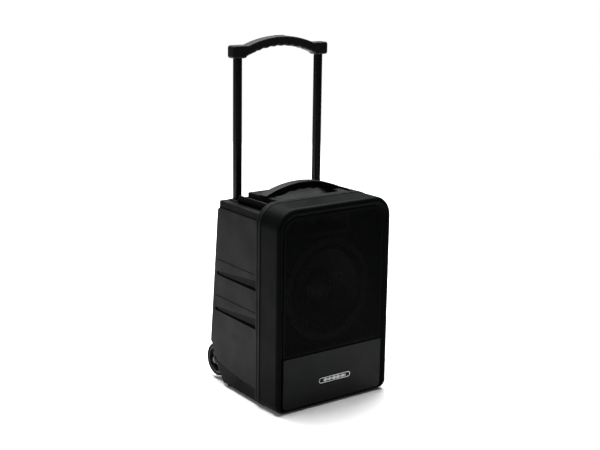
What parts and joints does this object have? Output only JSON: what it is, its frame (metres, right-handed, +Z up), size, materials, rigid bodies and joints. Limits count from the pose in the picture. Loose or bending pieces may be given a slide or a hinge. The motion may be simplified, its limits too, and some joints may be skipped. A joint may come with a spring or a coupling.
{
  "type": "portable trolley loudspeaker",
  "caption": "Portable trolley loudspeaker with steel grille, moulded cabinet, fixed carry handle, pull-out trolley handle, wheels and rear control panel.",
  "frame": {"origin": "on the floor, at the centre of the object's plan box", "axes": "+Z up, -Y out of the grille, +X to the right of someone facing the grille"},
  "size_m": [0.34, 0.344, 0.866],
  "materials": {
    "black_abs": "fine moulded texture",
    "satin_abs": "satin",
    "black_steel": "satin black powder coat",
    "black_tube": "semi-gloss black",
    "rubber": "matt",
    "tyre_rubber": "matt",
    "zinc_steel": "zinc plated",
    "nameplate_aluminium": "satin",
    "cone_paper": "matt pressed paper",
    "ferrite": "matt",
    "baffle_board": "black stained board",
    "circuit_board": "solder mask",
    "battery_case": "matt",
    "display_window": "gloss"
  },
  "bodies": {
    "cabinet": {"amplifier_board": "circuit_board", "amplifier_tray": "zinc_steel", "axle_bolt_left": "zinc_steel", "axle_bolt_right": "zinc_steel", "baffle": "baffle_board", "battery": "battery_case", "battery_bracket": "zinc_steel", "carry_handle": "black_abs", "control_plate": "black_steel", "crossover_board": "circuit_board", "display_window": "display_window", "foot_front_left": "rubber", "foot_front_right": "rubber", "foot_rear_left": "rubber", "foot_rear_right": "rubber", "front_bezel": "black_abs", "grille": "black_steel", "input_jack_1": "black_abs", "input_jack_2": "black_abs", "lower_panel": "satin_abs", "mains_inlet": "black_abs", "nameplate": "nameplate_aluminium", "plate_screw_1": "zinc_steel", "plate_screw_2": "zinc_steel", "plate_screw_3": "zinc_steel", "plate_screw_4": "zinc_steel", "power_supply": "zinc_steel", "rear_shell": "black_abs", "receiver_module": "zinc_steel", "sleeve_left": "zinc_steel", "sleeve_right": "zinc_steel", "tube_collar_left": "black_abs", "tube_collar_right": "black_abs", "tweeter_driver": "ferrite", "tweeter_horn": "black_abs", "usb_port": "zinc_steel", "woofer_basket": "black_steel", "woofer_magnet": "ferrite", "woofer_surround": "rubber"},
    "trolley": {"trolley_tube_left": "black_tube", "trolley_tube_right": "black_tube", "trolley_grip": "black_abs"},
    "release_push": {"release_button": "satin_abs"},
    "wheel_left": {"tyre_left": "tyre_rubber", "wheel_rim_left": "black_abs"},
    "wheel_right": {"tyre_right": "tyre_rubber", "wheel_rim_right": "black_abs"},
    "cone": {"woofer_cone": "cone_paper", "woofer_dust_cap": "cone_paper"},
    "power_switch": {"power_rocker": "satin_abs"},
    "level_1": {"knob_1": "satin_abs"},
    "level_2": {"knob_2": "satin_abs"},
    "level_3": {"knob_3": "satin_abs"},
    "level_4": {"knob_4": "satin_abs"},
    "level_5": {"knob_5": "satin_abs"},
    "level_6": {"knob_6": "satin_abs"},
    "key_1": {"button_1": "satin_abs"},
    "key_2": {"button_2": "satin_abs"},
    "key_3": {"button_3": "satin_abs"},
    "key_4": {"button_4": "satin_abs"}
  },
  "joints": [
    {"name": "trolley_slide", "type": "slide", "parent": "cabinet", "child": "trolley", "axis": [0, 0, 1], "range_m": [-0.339, 0]},
    {"name": "release_button_press", "type": "slide", "parent": "trolley", "child": "release_push", "axis": [0, 0, -1], "range_m": [0, 0.003], "stiffness_N_per_m": 1500, "springref_m": -0.001},
    {"name": "wheel_spin_left", "type": "hinge", "parent": "cabinet", "child": "wheel_left", "pos_m": [-0.13125, 0.129, 0.0515], "axis": [1, 0, 0], "continuous": true},
    {"name": "wheel_spin_right", "type": "hinge", "parent": "cabinet", "child": "wheel_right", "pos_m": [0.13125, 0.129, 0.0515], "axis": [1, 0, 0], "continuous": true},
    {"name": "woofer_travel", "type": "slide", "parent": "cabinet", "child": "cone", "axis": [0, 1, 0], "range_m": [-0.003, 0.003], "stiffness_N_per_m": 3000},
    {"name": "power_rocker_tilt", "type": "hinge", "parent": "cabinet", "child": "power_switch", "pos_m": [-0.066, 0.11984, 0.20621], "axis": [-1, 0, 0], "range_deg": [0, 10]},
    {"name": "knob_turn_1", "type": "hinge", "parent": "cabinet", "child": "level_1", "pos_m": [0.06, 0.1116, 0.29785], "axis": [0, 0.995, 0.1003], "range_deg": [-140, 140]},
    {"name": "knob_turn_2", "type": "hinge", "parent": "cabinet", "child": "level_2", "pos_m": [0, 0.1116, 0.29785], "axis": [0, 0.995, 0.1003], "range_deg": [-140, 140]},
    {"name": "knob_turn_3", "type": "hinge", "parent": "cabinet", "child": "level_3", "pos_m": [-0.06, 0.1116, 0.29785], "axis": [0, 0.995, 0.1003], "range_deg": [-140, 140]},
    {"name": "knob_turn_4", "type": "hinge", "parent": "cabinet", "child": "level_4", "pos_m": [0.06, 0.11602, 0.25407], "axis": [0, 0.995, 0.1003], "range_deg": [-140, 140]},
    {"name": "knob_turn_5", "type": "hinge", "parent": "cabinet", "child": "level_5", "pos_m": [0, 0.11602, 0.25407], "axis": [0, 0.995, 0.1003], "range_deg": [-140, 140]},
    {"name": "knob_turn_6", "type": "hinge", "parent": "cabinet", "child": "level_6", "pos_m": [-0.06, 0.11602, 0.25407], "axis": [0, 0.995, 0.1003], "range_deg": [-140, 140]},
    {"name": "button_press_1", "type": "slide", "parent": "cabinet", "child": "key_1", "axis": [0, -0.995, -0.1003], "range_m": [0, 0.0012], "stiffness_N_per_m": 900, "springref_m": -0.0006},
    {"name": "button_press_2", "type": "slide", "parent": "cabinet", "child": "key_2", "axis": [0, -0.995, -0.1003], "range_m": [0, 0.0012], "stiffness_N_per_m": 900, "springref_m": -0.0006},
    {"name": "button_press_3", "type": "slide", "parent": "cabinet", "child": "key_3", "axis": [0, -0.995, -0.1003], "range_m": [0, 0.0012], "stiffness_N_per_m": 900, "springref_m": -0.0006},
    {"name": "button_press_4", "type": "slide", "parent": "cabinet", "child": "key_4", "axis": [0, -0.995, -0.1003], "range_m": [0, 0.0012], "stiffness_N_per_m": 900, "springref_m": -0.0006}
  ]
}
